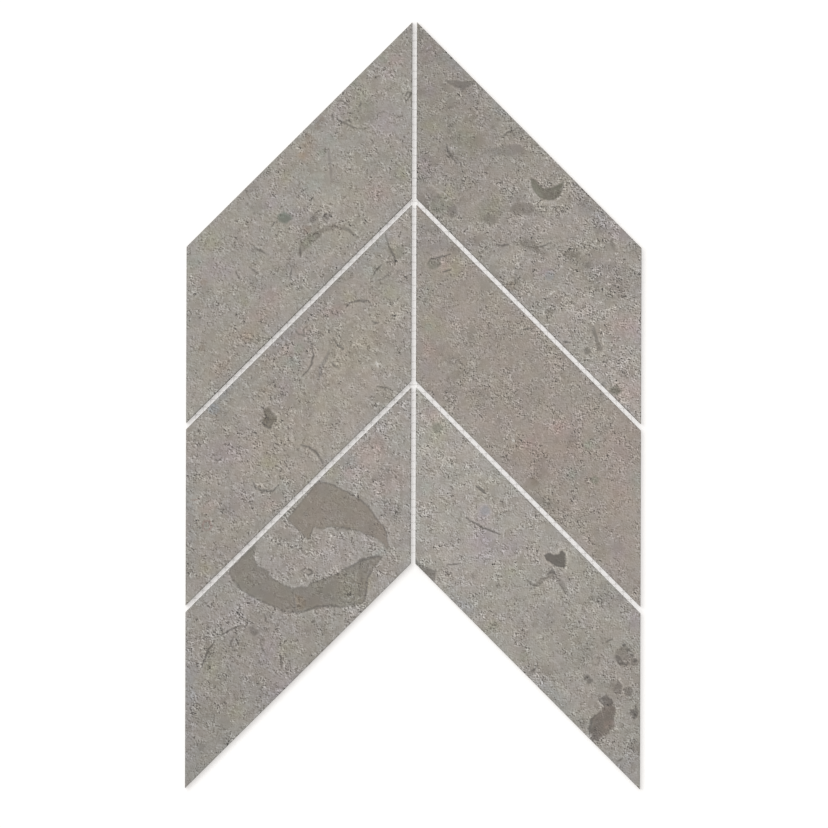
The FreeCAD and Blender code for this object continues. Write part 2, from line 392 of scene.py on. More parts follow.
marks = {
    "stone_left_1": {
        "oliveUnderArch": patch("olive", (350, 113), (356, 103), (369, 98), (378, 106), (377, 118), (370, 124), (356, 124),
                        soft=3.0, strength=0.45, speckle=0.8),
        "arch": line("deep", 1.1, (337, 119.5), (344, 123), (351, 126.5), (357, 128.5)),
        "archEnd": line("deepOlive", 0.8, (357, 128.5), (364, 129), (372, 126.7), strength=0.6),
        "archKnot": line("deep", 1.3, (345, 121), (349, 120.5), (351.5, 123.5)),
        "archEcho": line("deep", 0.7, (375.5, 120), (378.5, 113.5), (384, 111.5), (389.5, 115), strength=0.55),
        "squiggleEast": line("deep", 0.8, (393, 128), (396, 136), (401, 141), (403, 148), strength=0.45),
        "tick": line("deep", 1.0, (360.6, 101), (362, 104), (359.5, 106), (361, 109)),
        "tickOlive": spot("olive", 2.2, (367, 105)),
        "thinArc": line("deep", 0.9, (336, 101.6), (343, 101), (349, 106.7)),
        "shortDrop": line("deep", 0.9, (332, 113), (332.4, 116), (333.6, 119)),
        "peakPink": spot("pink", 3.4, (396.5, 59), (389, 74)),
        "peakGreen": spot("green", 2.8, (383.6, 59), (322, 152.6), (353, 83)),
        "brownCloud": spot("brown", 4.6, (310.4, 144), strength=0.4),
        "rustCloud": spot("rust", 2.6, (301.8, 155.4)),
        "faintDrop": line("grey", 1.8, (328.5, 148), (330, 163), (331.5, 182), strength=0.75),
        "edgeBlots": spot("brown", 2.0, (317, 126), (322, 119), (308, 137)),
        "jointTick": line("deep", 1.2, (405, 96), (408, 91.5), (411, 92), (409, 97), (406, 101)),
        "twins": spot("dark", 1.0, (247, 203), (251, 208), (254, 213)),
        "greenPatch": patch("moss", (277, 215), (283, 212), (291, 215), (293, 219), (287, 223), (279, 222), soft=1.2,
                        strength=0.95),
        "greenRim": line("deep", 0.9, (271.7, 227), (274, 223), (278.8, 221.5)),
        "blobs": spot("dark", 2.4, (327, 216.5), (313, 219.5), strength=0.9),
        "blobRims": line("deep", 0.9, (322, 219), (325, 213.5), (330, 214.5), (331, 217)),
        "brownPatch": patch("brown", (303, 226), (310, 226), (311, 233), (305, 235), soft=1.0, strength=0.9),
        "brownBand": line("shell", 6.0, (299, 254), (304, 245), (311, 239), (318, 234), (325, 229), strength=0.85),
        "bandOlive": spot("olive", 3.0, (310, 238), (307, 243), strength=0.8),
        "bandTail": line("shell", 3.6, (325, 229), (335, 226.5), (346, 229), (358, 237), thickest=0.0, strength=0.75),
        "bandFold": line("deep", 0.8, (339, 227.5), (348, 230), (353, 234), (358, 237), strength=0.55),
        "drops": line("deep", 0.9, (300, 247), (300.5, 252), (300, 257)),
        "lowDrop": line("deep", 0.9, (291.7, 269), (291, 275), (289.6, 280)),
        "longThin": line("deep", 1.0, (250, 243.8), (258.7, 250), (268.8, 254.5)),
        "wormLeft": line("deep", 0.9, (236, 271), (237, 274.6), (240.8, 280)),
        "wormRight": line("deep", 0.9, (250, 267), (254, 270), (258.7, 274)),
        "wornBrown": spot("brown", 2.4, (202, 347.8), (204, 281.8)),
        "wornGrey": spot("grey", 1.5, (212.8, 306), (251.6, 283)),
    },
    "stone_left_2": {
        "hookOlive": patch("olive", (395, 246), (402, 245), (405, 254), (400, 260), (396, 257), soft=1.6, strength=0.6,
                        speckle=0.6),
        "hook": line("deep", 1.0, (385.5, 234), (389, 246), (394.5, 257), (395, 262), (391, 262), (386, 262)),
        "hookBranch": line("deep", 1.4, (381, 265), (377, 269), (373.5, 275)),
        "hookKnot": line("deep", 0.8, (397, 274), (399, 270), (403, 272), (400, 277), strength=0.6),
        "hookEcho": line("deep", 0.9, (393.6, 270), (383, 279), (370.7, 281.8), strength=0.45),
        "brow": line("deep", 1.2, (346, 307.5), (350, 303), (358, 300.8), (368, 301), (372.5, 305.5)),
        "browPink": spot("pink", 3.0, (337.7, 314), (290, 353.5)),
        "worms": line("deep", 1.0, (372, 321), (375, 323.4), (379, 322.5)),
        "wormsEast": line("deep", 1.0, (391, 314), (393.6, 316.2), (397, 315)),
        "redWorm": line("dark", 1.1, (292.5, 327.7), (298.2, 334.2), (304.7, 335.6), (303.2, 329.9),
                        (308.3, 326.3)),
        "longArc": line("deep", 0.9, (306.8, 336.3), (311.1, 344.9), (313.3, 355), (311.8, 363.6),
                        (307.5, 370.8), (301.8, 376.5)),
        "arcSmudge": line("grey", 2.2, (329, 350), (326, 358), (321, 368), (320, 378), strength=0.8),
        "strokeHigh": line("deep", 1.5, (332.5, 337.5), (336, 343), (343, 349), thickest=0.9),
        "strokeLow": line("deep", 1.0, (330.5, 362), (335, 366), (339, 369.3)),
        "knot": spot("dark", 1.3, (320.4, 373.6)),
        "paleSpeck": line("white", 1.2, (375.8, 361.5), (378.4, 367.8), strength=1.0),
        "greenPatch": spot("green", 3.4, (299, 347.8)),
        "dash": line("deep", 1.0, (376.4, 386.5), (383, 388), (390.8, 388)),
        "round": patch("roundBrown", (264, 409), (268, 407), (272, 411), (277, 416), (277, 421), (272, 424),
                        (271, 428), (267, 428.5), (262, 424), (261, 420), (265, 417), (264, 412), soft=0.8,
                        strength=0.95, speckle=0.8),
        "roundCore": line("deep", 1.5, (261.5, 420), (264.5, 424.5), (268, 428), (270.5, 427), strength=0.9),
        "roundFold": line("deep", 0.9, (265, 415), (268.5, 418.5), (268, 423), (266, 425), strength=0.75),
        "roundNorth": line("deep", 0.7, (268, 408), (272, 412), (277, 417), (275, 421), strength=0.5),
        "roundLight": spot("hollow", 0.7, (271.5, 416), (270.5, 422.5), strength=0.25),
        "bluePatch": spot("blue", 3.6, (214, 409)),
        "crestArc": line("deep", 1.6, (300.4, 444.5), (309, 446.7), (316, 453), (323.3, 463.2)),
        "smile": line("deep", 1.2, (251.6, 479.7), (254.4, 486.9), (263, 491.2), (273, 490.5),
                      (278.8, 485.4)),
        "edgeWorm": line("deep", 1.0, (215, 459), (217.9, 461), (221, 459.5)),
        "redRing": line("red", 1.2, (202, 525.6), (204, 521), (209, 521), (212, 525.6), (209, 530),
                        (204, 530), (202, 525.6), thickest=0.3),
        "redDash": line("red", 1.0, (191.3, 499.8), (200, 498.4)),
    },
    "stone_left_3": {
        "ringHollow": patch("hollow", (287, 518), (300, 533), (325, 528), (359, 531), (384, 545), (370, 558),
                            (338, 573), (302, 587), (275, 580), (253, 557), (255, 546), soft=0.8,
                            strength=0.7, speckle=1.1),
        "ringUpper": patch("lobe", (319, 481), (330.5, 484), (344.8, 490.5), (359.2, 498.4), (367.8, 505.5),
                           (375, 517), (383.6, 527), (387.2, 535.7), (387.9, 544.3), (387.2, 548.6),
                           (383.6, 544.3), (375, 536.4), (359.2, 531.4), (344.8, 527.8), (330.5, 526.3),
                           (323.3, 528.5), (313.3, 527), (308.3, 539.3), (300.4, 531.4), (293.9, 526.3),
                           (287.4, 518.4), soft=0.6, strength=0.85, rim=0.3, speckle=0.45),
        "ringLower": patch("umber", (230, 570), (228.6, 573), (232.9, 580), (241.5, 590), (255.9, 598.8),
                           (270.2, 604.5), (284.6, 611.6), (294.6, 612.4), (309, 610.2), (323.3, 606.6),
                           (333.4, 607.3), (344.8, 606.6), (364, 603), (366, 592), (368, 580),
                           (371, 573), (375.5, 566), (382, 557), (377.8, 555.8), (369.2, 557.9),
                           (357.8, 562.9), (344.8, 568.7), (337.7, 573), (324.8, 578.7), (313.3, 582.3),
                           (306, 588), (301.8, 586.6), (293.2, 588.8), (284.6, 585.9), (274.5, 580),
                           (267.4, 571.5), (257.3, 565.8), (253, 557), (254.4, 545.7), soft=0.6,
                           strength=0.85, rim=0.3, speckle=0.45),
        "ringUpperEdge": line("deep", 0.7, (319, 480.5), (330.5, 484), (344.8, 490.5), (359.2, 498.4), (367.8, 505.5),
                        (375, 517), (383.6, 527), (388, 537), strength=0.75),
        "ringInnerEdge": line("hollow", 1.5, (312, 530), (318, 529.5), (325, 531.5), (331, 530), (345, 531), (359, 534.5),
                        (374, 539.5), (384, 549), strength=0.8, wander=2.6),
        "ringUpperFoot": line("deep", 0.9, (308.5, 539), (312, 529), (318, 527), (323, 530), (331, 527), (345, 528.5),
                        (359, 532), (374, 537), (384, 546), strength=0.6, wander=2.4),
        "ringLowerEdge": line("deep", 0.7, (229, 573), (233, 580.5), (242, 590.5), (256, 599.5), (270, 605), (284.6, 612),
                        (296, 613), (309, 610.5), strength=0.6),
        "ringRust": patch("field", (340, 577), (350, 571), (362, 568), (368, 574), (366, 590), (360, 603),
                        (345, 606), (334, 603), (338, 592), soft=2.6, strength=0.55, speckle=0.8),
        "ringLightFlecks": line("pale", 0.8, (338, 601), (342, 597), (347, 600), (352, 596), (357, 600), (362, 597), strength=0.5),
        "ringPaleCurl": line("pale", 0.8, (342, 586), (347, 582), (353, 585), (356, 580), strength=0.45),
        "ringDarkCurl": line("deep", 0.8, (340, 604), (345, 601), (350, 604.5), (356, 602), (362, 603), strength=0.6),
        "ringEastEdge": line("deep", 0.9, (371, 571), (367.5, 578), (366.5, 586), (366, 594), (363, 603), strength=0.6),
        "ringDarkFlecks": spot("dark", 1.2, (365, 592), (362, 579), (354, 606), (333, 598), (350, 594), (369, 573)),
        "ringFoot": line("deep", 1.2, (305, 610.5), (318, 606), (332, 605.5), (343, 607), strength=0.8),
        "ringStrip": patch("rustDark", (296, 595), (303, 596), (306, 603), (303, 609), (297, 609), soft=1.2, strength=0.7),
        "ringEnd": line("deep", 1.8, (350, 566), (362, 560), (374, 557), (382, 557), strength=0.7),
        "ringDivider": line("deep", 0.8, (292.5, 590), (294, 600), (295.3, 610), strength=0.6),
        "ringTriangle": line("deep", 1.1, (301, 571), (305, 568.5), (311, 570.5), (312, 574), (308, 575), (302, 571.5)),
        "ringKnot": spot("dark", 1.5, (305.4, 514)),
        "pinkStrip": line("pink", 4.0, (375, 432), (381, 440), (383.6, 455), strength=0.5),
        "pinkClump": patch("pink", (372, 456), (388, 454), (395, 470), (393, 492), (398, 510), (385, 514),
                           (372, 500), (366, 478), soft=2.4, strength=0.35, speckle=1.4),
        "clumpKnots": spot("dark", 1.3, (388, 469.7), (398, 512.7)),
        "browLine": line("deep", 1.1, (213, 632), (221, 635.5), (232, 629), (240, 626), (246, 625.5), strength=1.0),
        "browKnots": patch("dark", (249, 627), (254, 627), (259, 633), (255, 636), (250, 632), strength=0.9),
        "browKnot": patch("dark", (258, 634), (263, 637), (265, 645), (261, 641), strength=0.9),
        "arcLeft": line("deep", 1.4, (215, 641), (208.5, 649.5), (205, 658), (202, 668), strength=1.0),
        "arcLeftEnd": line("deep", 0.7, (201.5, 674), (203, 684), (207, 690), strength=0.4),
        "arcInner": line("deep", 0.9, (233, 637), (230.5, 644), (233, 650), (238, 650), strength=0.8),
        "arcRight": line("deep", 0.9, (260, 640), (262, 650), (267, 656), strength=0.8),
        "loop": line("deep", 1.0, (264.5, 613.8), (266, 621), (271.7, 622.4)),
        "knots": spot("dark", 1.0, (197, 638), (204.2, 636.7), (257.3, 673.3), (257.3, 682.7),
                      (274.5, 688.4), (265.9, 695.6), (199.2, 750)),
        "drop": line("deep", 1.0, (280.3, 654), (281, 661), (281.7, 668)),
    },
    "stone_right_1": {
        "oliveTip": patch("dark", (418, 27), (423, 31), (424, 38), (418, 39), strength=0.6),
        "tipPink": spot("pink", 1.6, (424.6, 46.4)),
        "wedge": patch("dark", (444.7, 80), (457.6, 81), (475, 81.5), (467, 87), (463, 91), (456, 87),
                        (450.4, 84.5), soft=0.6, strength=0.9, rim=0.1, speckle=0.5),
        "wedgeCore": spot("deep", 1.2, (461, 87), strength=0.5),
        "olivePatch": patch("olive", (450, 140), (456, 131), (468, 131), (478, 138), (479, 150), (470, 157),
                        (456, 156), soft=2.2, strength=0.62, speckle=0.8),
        "oliveCurl": line("pale", 0.8, (457, 152), (461, 149), (466, 151), (467, 156), (462, 158), (457, 155), strength=0.5),
        "oliveFoot": patch("dark", (449, 154), (454, 153), (460, 159), (462, 164), (456, 163), soft=0.9, strength=0.6),
        "olivePale": line("pale", 0.9, (447, 146), (452, 149), (458, 147), strength=0.6),
        "oliveRim": line("deep", 1.2, (446, 144), (448, 152), (453.3, 159.8)),
        "brownPatch": patch("grey", (491, 149), (505, 145), (519, 144), (524, 150), (512, 155), (494, 155), soft=1.0,
                        strength=0.8, speckle=0.5),
        "streak": line("deep", 1.2, (502, 137), (509, 132), (516.4, 128)),
        "edgeKnots": spot("dark", 1.3, (536.5, 145.4), (520.7, 131)),
        "crescentRim": line("pale", 0.9, (528.3, 180), (529.3, 188), (533.3, 196), (540, 201.5), strength=0.75),
        "crescent": patch("deepOlive", (530.8, 178.4), (531.5, 185.6), (535.1, 192.8), (540.8, 197.8),
                          (548, 200.4), (554.5, 199.6), (559.5, 195.6), (562.4, 189.2), (563.8, 181.3),
                          (558.1, 184.9), (550.9, 188.5), (543.7, 188.5), (538, 184.1), (535.1, 179.8),
                          soft=0.5, strength=0.95, rim=0.15, speckle=0.5, wander=0.3),
        "crescentWest": patch("olive", (531, 179), (531.5, 186), (535, 192.5), (541, 197.5), (545, 197), (541, 190),
                        (537, 185), (535, 180), soft=1.2, strength=0.3, speckle=0.5),
        "crescentMiddle": patch("roundBrown", (543, 189), (561, 189.5), (559, 196), (552, 200), (543, 198.5), soft=1.5,
                        strength=0.75, speckle=0.5),
        "crescentEast": patch("grey", (559.5, 190), (562, 183), (565, 179.5), (564.5, 186), (562, 192), soft=0.8,
                        strength=0.5, speckle=0.6),
        "crescentLayers": line("olive", 0.8, (532.5, 184), (537, 192), (543, 196.5), (551, 198.5), strength=0.5),
        "crescentLayer": line("pale", 0.7, (531, 187), (535, 195), (541, 200), strength=0.6),
        "crescentFoot": line("pale", 1.0, (543.5, 202.5), (551, 203), (559, 202.5), strength=0.7),
        "crescentOlive": spot("olive", 1.5, (548, 194), (556, 192), strength=0.35),
        "crescentEcho": line("deep", 0.9, (536.5, 204.2), (547, 208), (559.5, 207.1), strength=0.4),
        "lens": patch("shell", (509, 210), (514, 204), (522, 203), (533, 206), (536, 210), (529, 213.5),
                        (516, 214), soft=0.8, strength=0.8, speckle=0.4),
        "oliveField": patch("olive", (475, 208), (485, 198), (500, 200), (505, 212), (495, 222), (480, 220),
                        soft=2.4, strength=0.5, speckle=0.9),
        "fieldCore": patch("shell", (484, 217), (490, 214), (497, 217), (497, 224), (488, 225), strength=0.85, speckle=0.8),
        "darkOlive": patch("olive", (429, 203), (437, 194), (449, 195), (453, 205), (445, 214), (433, 212),
                           soft=1.5, strength=0.95),
        "bandWest": patch("grey", (424, 186), (433, 188), (441, 197), (438, 204), (428, 200), strength=0.6, speckle=1.4),
        "bandSouth": patch("dark", (447, 205), (455, 207), (458, 215), (452, 219), (447, 212), strength=0.7, wander=1.6),
        "bandLight": line("pale", 1.2, (429, 184), (437, 189), (446, 194), (453, 201), strength=0.5),
        "oliveSquiggle": line("pale", 0.9, (443, 198), (446, 201), (449, 199), strength=0.5),
        "tick": line("deep", 1.0, (573, 183), (575.3, 185.6), (578, 184)),
        "dash": line("deep", 1.2, (496, 245), (502, 246), (509, 244.5)),
        "knotRow": spot("dark", 1.0, (522, 243), (526, 240.5), (530, 245), (535, 247)),
        "knotTail": line("deep", 1.0, (533.7, 247.4), (542, 246), (550.9, 243)),
        "knotPatch": patch("shell", (519, 241), (527, 238), (536, 243), (541, 251), (531, 251), (524, 246)),
        "brownEye": patch("shell", (561, 254), (570, 249), (581, 252), (577, 261), (566, 259), soft=1.0),
        "blob": spot("dark", 1.9, (588.2, 264.6)),
        "sliver": patch("dark", (609.7, 234.4), (613.5, 243), (615.5, 251.7), (611, 246), strength=0.6),
        "bluePatch": spot("blue", 3.2, (549.4, 276)),
        "paleStreak": line("white", 1.1, (548, 295.4), (555.2, 291.1), strength=1.0),
        "spotSouth": spot("shell", 2.3, (550.9, 311.9), strength=0.9),
        "dropEast": line("deep", 0.9, (533.7, 268.9), (533.7, 278.9), strength=0.5),
        "dropWest": line("deep", 0.9, (515, 270.3), (515, 286.1), strength=0.5),
        "brownSouth": spot("brown", 3.0, (510.7, 286.1)),
        "speckField": patch("grey", (585, 270), (600, 262), (625, 264), (640, 275), (638, 298), (615, 300),
                            (595, 290), soft=4.0, strength=0.4, speckle=1.7),
        "tooth": patch("dark", (593.3, 326), (596, 332), (599, 341), (603.5, 347), (601.5, 351), (597, 350),
                        (595.5, 342), (592.5, 333), soft=0.4, strength=0.75, speckle=0.4),
        "toothShade": patch("dark", (583, 349.5), (587, 346.5), (591, 350), (590, 354), (585, 354.5), soft=0.5,
                        strength=0.85, speckle=0.4),
        "streakSouth": line("deep", 1.1, (563, 341), (566.7, 342), (570, 342.5)),
        "redFaint": spot("red", 2.4, (614, 340.6), strength=0.35),
        "greenDark": patch("deepOlive", (609, 388), (616, 385), (622, 391), (617, 396), (611, 394), soft=1.2),
        "spotLast": spot("dark", 1.7, (604, 383.7)),
    },
    "stone_right_2": {
        "curl": line("deep", 1.4, (428.2, 263.1), (431.8, 258.8), (439, 257.4), (450.4, 254.5)),
        "curlOlive": patch("deepOlive", (427, 264), (433, 259.5), (441, 259), (441, 265), (436, 269.5),
                           (429, 268), soft=1.2, strength=0.6),
        "dashHigh": line("deep", 1.2, (443, 271.5), (446.9, 271), (451, 270)),
        "dashMiddle": line("deep", 1.2, (523, 329.8), (526.5, 329.1), (530, 328)),
        "knots": spot("dark", 1.3, (600.4, 395.1), (573.8, 496.9)),
        "greens": spot("green", 2.6, (428.9, 327.7), (588.2, 445.3), (572.4, 474)),
        "paleDot": spot("white", 0.7, (512.9, 441), strength=1.0),
        "reds": spot("red", 2.8, (526.5, 442.4), (558.1, 428), strength=0.35),
        "oliveSpot": spot("olive", 2.6, (594.7, 479.7), strength=0.9),
        "brownSpot": spot("brown", 2.6, (535.1, 481.1)),
    },
    "stone_right_3": {
        "topSlug": line("deep", 2.2, (476.7, 486.2), (481, 489.5), (485.5, 493)),
        "thinBow": line("deep", 1.5, (466.2, 518.4), (476.3, 524.2), (487.7, 529.9), (500.7, 534.2)),
        "heart": patch("deep", (544.4, 555), (548, 552.9), (553.8, 555.5), (557.5, 554), (559.5, 551), (562.5, 550.5),
                        (565, 554.5), (565.3, 562), (563.5, 567.5), (557.3, 566.5), (551.5, 563), (546.6, 559.5),
                        soft=0.35, strength=1.0, rim=0.15, speckle=0.5),
        "heartEdge": line("deep", 0.9, (545, 556), (550, 562), (557, 566.5), (564, 567), (566, 560), (565, 553), strength=0.8),
        "heartHalo": line("pale", 0.8, (544, 551), (550, 550), (556, 552), (560, 548), (567, 549), (568.5, 556), strength=0.45),
        "branch": line("dark", 2.4, (530, 590), (536, 585), (541, 580.5), (548, 577), (553, 575), strength=0.65),
        "branchTail": line("dark", 2.6, (553, 576), (560, 580), (565, 588), (571, 597), strength=0.6),
        "branchRims": line("deep", 0.9, (526, 579), (531, 584), (538, 586), (543, 582), strength=0.7),
        "branchKnot": line("deep", 2.0, (547, 574), (552, 571.5), (556, 575), strength=0.9),
        "branchEdge": line("deep", 0.8, (557, 580), (562, 587), (568, 596), strength=0.6),
        "darkCorner": patch("dark", (412, 556), (424.6, 566.5), (436.1, 570.1), (436.1, 573),
                            (433.9, 584), (412, 564), soft=0.6, strength=0.85),
        "cornerTick": line("deep", 1.1, (446, 572), (449, 574.5), (452, 573)),
        "cornerDash": line("deep", 0.9, (447.6, 564.4), (454, 564.5), (460.5, 563.6)),
        "knots": spot("dark", 1.5, (473.4, 577.3), (498.5, 585.9), (583.2, 724.3), (614, 732.2)),
        "olives": spot("olive", 3.2, (437.5, 428), (493.5, 626.7), (523.6, 656.8)),
        "pinkSpot": spot("pink", 2.5, (428.9, 410.8)),
        "blueSpot": spot("blue", 3.0, (484.9, 511.3)),
        "mottles": spot("grey", 2.4, (602.5, 586.5), (601.1, 599.4), (619.8, 598)),
        "comet": spot("dark", 1.9, (532.9, 671.9)),
        "cometTail": line("deep", 1.1, (533, 671), (538, 665.4), thickest=0.0),
        "spotSouth": spot("deep", 1.9, (586, 677), (590, 681), strength=0.8),
        "ring": line("deep", 0.9, (591.4, 661.1), (593, 657.5), (598, 657.5), (599.6, 661.1), (598, 665),
                     (593, 665), (591.4, 661.1), strength=0.5),
        "streak": line("deep", 1.1, (606, 642), (609, 641), (613, 639)),
        "edgeCluster": patch("grey", (615, 652), (621, 648), (630, 650), (636, 656), (634, 664), (626, 668), (619, 663),
                        soft=1.6, strength=0.6, speckle=1.9, wander=2.0),
        "edgeKnots": spot("deep", 1.3, (632, 655), (617, 657), (624, 645.4), (628, 650), (619.5, 659.5), (635, 661),
                        strength=1.0, wander=1.0),
        "edgeHooks": line("deep", 1.3, (617, 660), (620, 664), (623, 663), (626, 665), (629, 662), strength=1.0),
        "tent": patch("dark", (618, 679), (622, 686), (621, 694), (613, 693), (615, 687), soft=0.4, strength=0.95, wander=0.7),
        "tentEast": patch("dark", (624, 688), (630, 687), (633, 691), (631, 697), (625, 695), soft=0.5, strength=0.85, wander=0.7),
        "footPatch": patch("footBrown", (602, 698), (606, 695), (611, 698), (612, 704), (616, 709), (616, 713),
                        (613, 717), (615, 722), (613, 728), (609, 731), (606, 736), (602, 738), (597, 741),
                        (592, 740), (590, 735), (590, 729), (592, 724), (590, 721), (593, 716), (598, 713),
                        (602, 709), (604, 705), soft=0.7, strength=0.92, rim=0.1, speckle=0.9, wander=1.8),
        "footRim": patch("deep", (598, 700), (602, 695), (608, 694), (612, 699), (611, 705), (606, 707), (602, 704),
                        soft=0.9, strength=0.55, speckle=1.8, wander=2.2),
        "footKnots": line("deep", 1.1, (599, 701), (602, 697.5), (605, 698), (603, 703), (607, 705), wander=1.8),
        "footRim2": line("deep", 1.6, (600, 712), (595, 717), (591, 722), (589, 728), (590, 735), strength=0.9, wander=1.6),
        "footBlots": spot("deep", 1.0, (595, 716), (591, 721), (597, 722), (592, 729), (600, 698), (610, 701),
                        strength=0.6, wander=2.0),
        "footHalo": line("pale", 0.9, (614, 704), (619, 709), (619, 716), (617, 724), (613, 731), strength=0.5),
        "footWest": patch("deep", (589, 729), (594, 727), (599, 733), (598, 740), (592, 740), soft=1.4, strength=0.35),
        "footLight": spot("red", 1.9, (606, 725), (611, 722), strength=0.32),
        "footPink": spot("pink", 1.5, (614.5, 724), strength=0.55),
        "footSpot": patch("deep", (630, 710), (634, 708), (638, 712), (636, 717), (635, 720), (632, 718), (632, 714),
                        soft=0.9, strength=0.9, speckle=1.4, wander=1.8),
        "footEast": patch("grey", (629, 737), (636, 738), (640, 745), (639, 755), (630, 753), strength=0.6, speckle=1.3),
        "footLine": line("grey", 3.0, (632, 739), (630.5, 745), (633, 751), strength=0.8),
        "lastDash": line("deep", 1.1, (617, 761), (619.8, 760.1), (623, 758.5)),
    },
}
# Broad soft clouds in the stone. The shifts multiply its own tone.

shifts = {
    "dim": (0.88, 0.88, 0.88),
    "shade": (0.78, 0.78, 0.77),
    "pale": (1.08, 1.08, 1.08),
    "blue": (0.965, 0.99, 1.03),
    "lavender": (1.0, 0.98, 1.04),
    "pink": (1.045, 0.98, 0.985),
    "olive": (0.98, 0.99, 0.91),
    "teal": (0.955, 1.01, 1.01),
    "brown": (0.95, 0.9, 0.86),
    "warm": (1.015, 1.0, 0.965),
}


def cloud(shift, long, short, turn, *points, strength=1.0):
    # long and short are its half widths in millimetres, turn the rise of the long one in degrees
    return {"shift": shift, "long": long, "short": short, "turn": turn, "points": points,
            "strength": strength}


